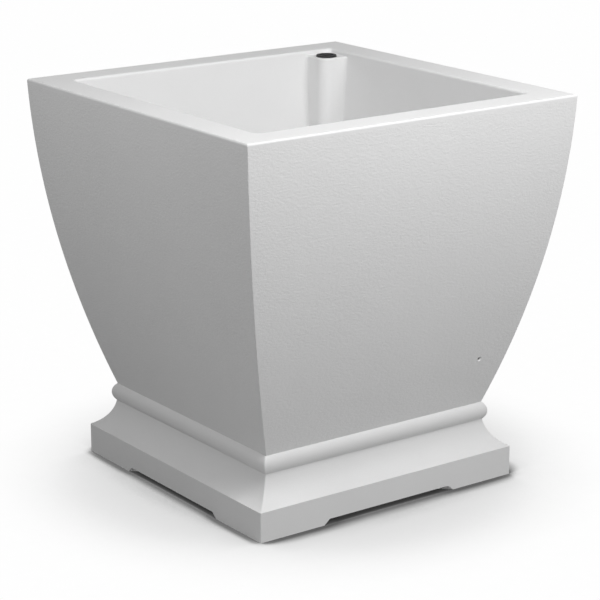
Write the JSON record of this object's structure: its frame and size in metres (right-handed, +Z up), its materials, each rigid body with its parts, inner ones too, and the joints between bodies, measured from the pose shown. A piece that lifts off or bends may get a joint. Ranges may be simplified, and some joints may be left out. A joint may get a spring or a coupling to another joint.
{
  "type": "square self-watering floor planter",
  "caption": "Square flared floor planter with curved double walls, a flat rim, a corner fill post with plug, a water tank below the soil and a moulded pedestal with feet.",
  "frame": {"origin": "on the floor under the middle of the planter", "axes": "+Z up; the face with the overflow hole looks along -Y; the fill post is at +X +Y"},
  "size_m": [0.5078, 0.5078, 0.515],
  "materials": {
    "white_plastic": "white matt polyethylene with a very fine moulded grain",
    "black_plastic": "black satin moulded plastic",
    "cup_plastic": "charcoal moulded polypropylene",
    "bung_rubber": "black rubber",
    "screw_steel": "stainless steel",
    "insert_brass": "plain brass"
  },
  "bodies": {
    "planter": {"outer_shell": "white_plastic", "inner_liner": "white_plastic", "pedestal_base": "white_plastic", "fill_collar": "black_plastic", "wick_cup_1": "cup_plastic", "wick_cup_2": "cup_plastic", "wick_cup_3": "cup_plastic", "wick_cup_4": "cup_plastic", "base_screws": "screw_steel", "base_washers": "screw_steel", "thread_inserts": "insert_brass"},
    "plug": {"fill_plug": "black_plastic"},
    "bung": {"drain_bung": "bung_rubber"}
  },
  "joints": [
    {"name": "fill_plug_pull", "type": "slide", "parent": "planter", "child": "plug", "axis": [0, 0, 1], "range_m": [0, 0.06]},
    {"name": "drain_bung_pull", "type": "slide", "parent": "planter", "child": "bung", "axis": [0, 0, -1], "range_m": [0, 0.06]}
  ]
}
